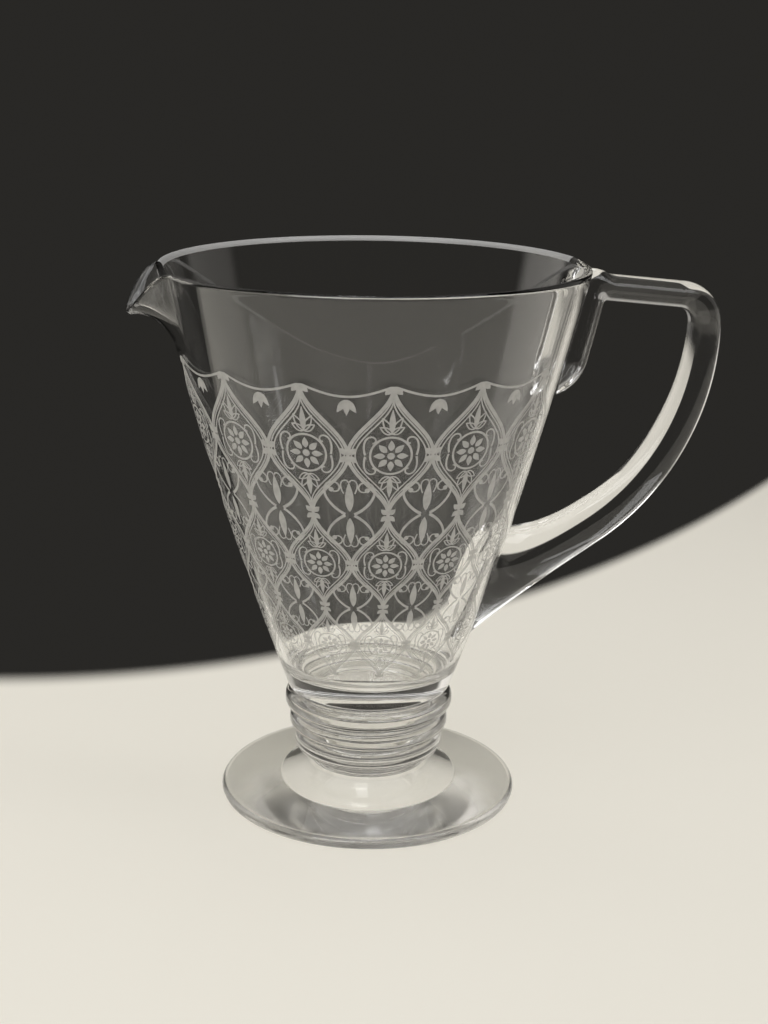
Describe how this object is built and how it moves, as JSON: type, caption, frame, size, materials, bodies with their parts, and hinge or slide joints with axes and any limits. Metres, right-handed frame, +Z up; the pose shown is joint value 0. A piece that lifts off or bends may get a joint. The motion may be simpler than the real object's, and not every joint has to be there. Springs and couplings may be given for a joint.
{
  "type": "water pitcher",
  "caption": "Footed clear-glass water pitcher: conical bowl with a drawn pouring lip, ringed stem, domed disc foot and an applied rod handle with a folded tail.",
  "frame": {"origin": "centre of the flat ring under the foot, on the table", "axes": "+Z up along the bowl's axis, +X through the handle, -X through the pouring lip"},
  "size_m": [0.2537, 0.1748, 0.2284],
  "materials": {
    "bowl_glass": "clear blown glass, fire polished, with an etched band",
    "stem_glass": "clear solid glass, fire polished",
    "foot_glass": "clear solid glass, ground flat where it stands",
    "handle_glass": "clear drawn glass rod, fire polished"
  },
  "bodies": {
    "root": {"bowl": "bowl_glass", "upper_ring": "stem_glass", "middle_ring": "stem_glass", "lower_ring": "stem_glass", "foot_collar": "stem_glass", "foot": "foot_glass", "handle": "handle_glass"}
  },
  "joints": []
}
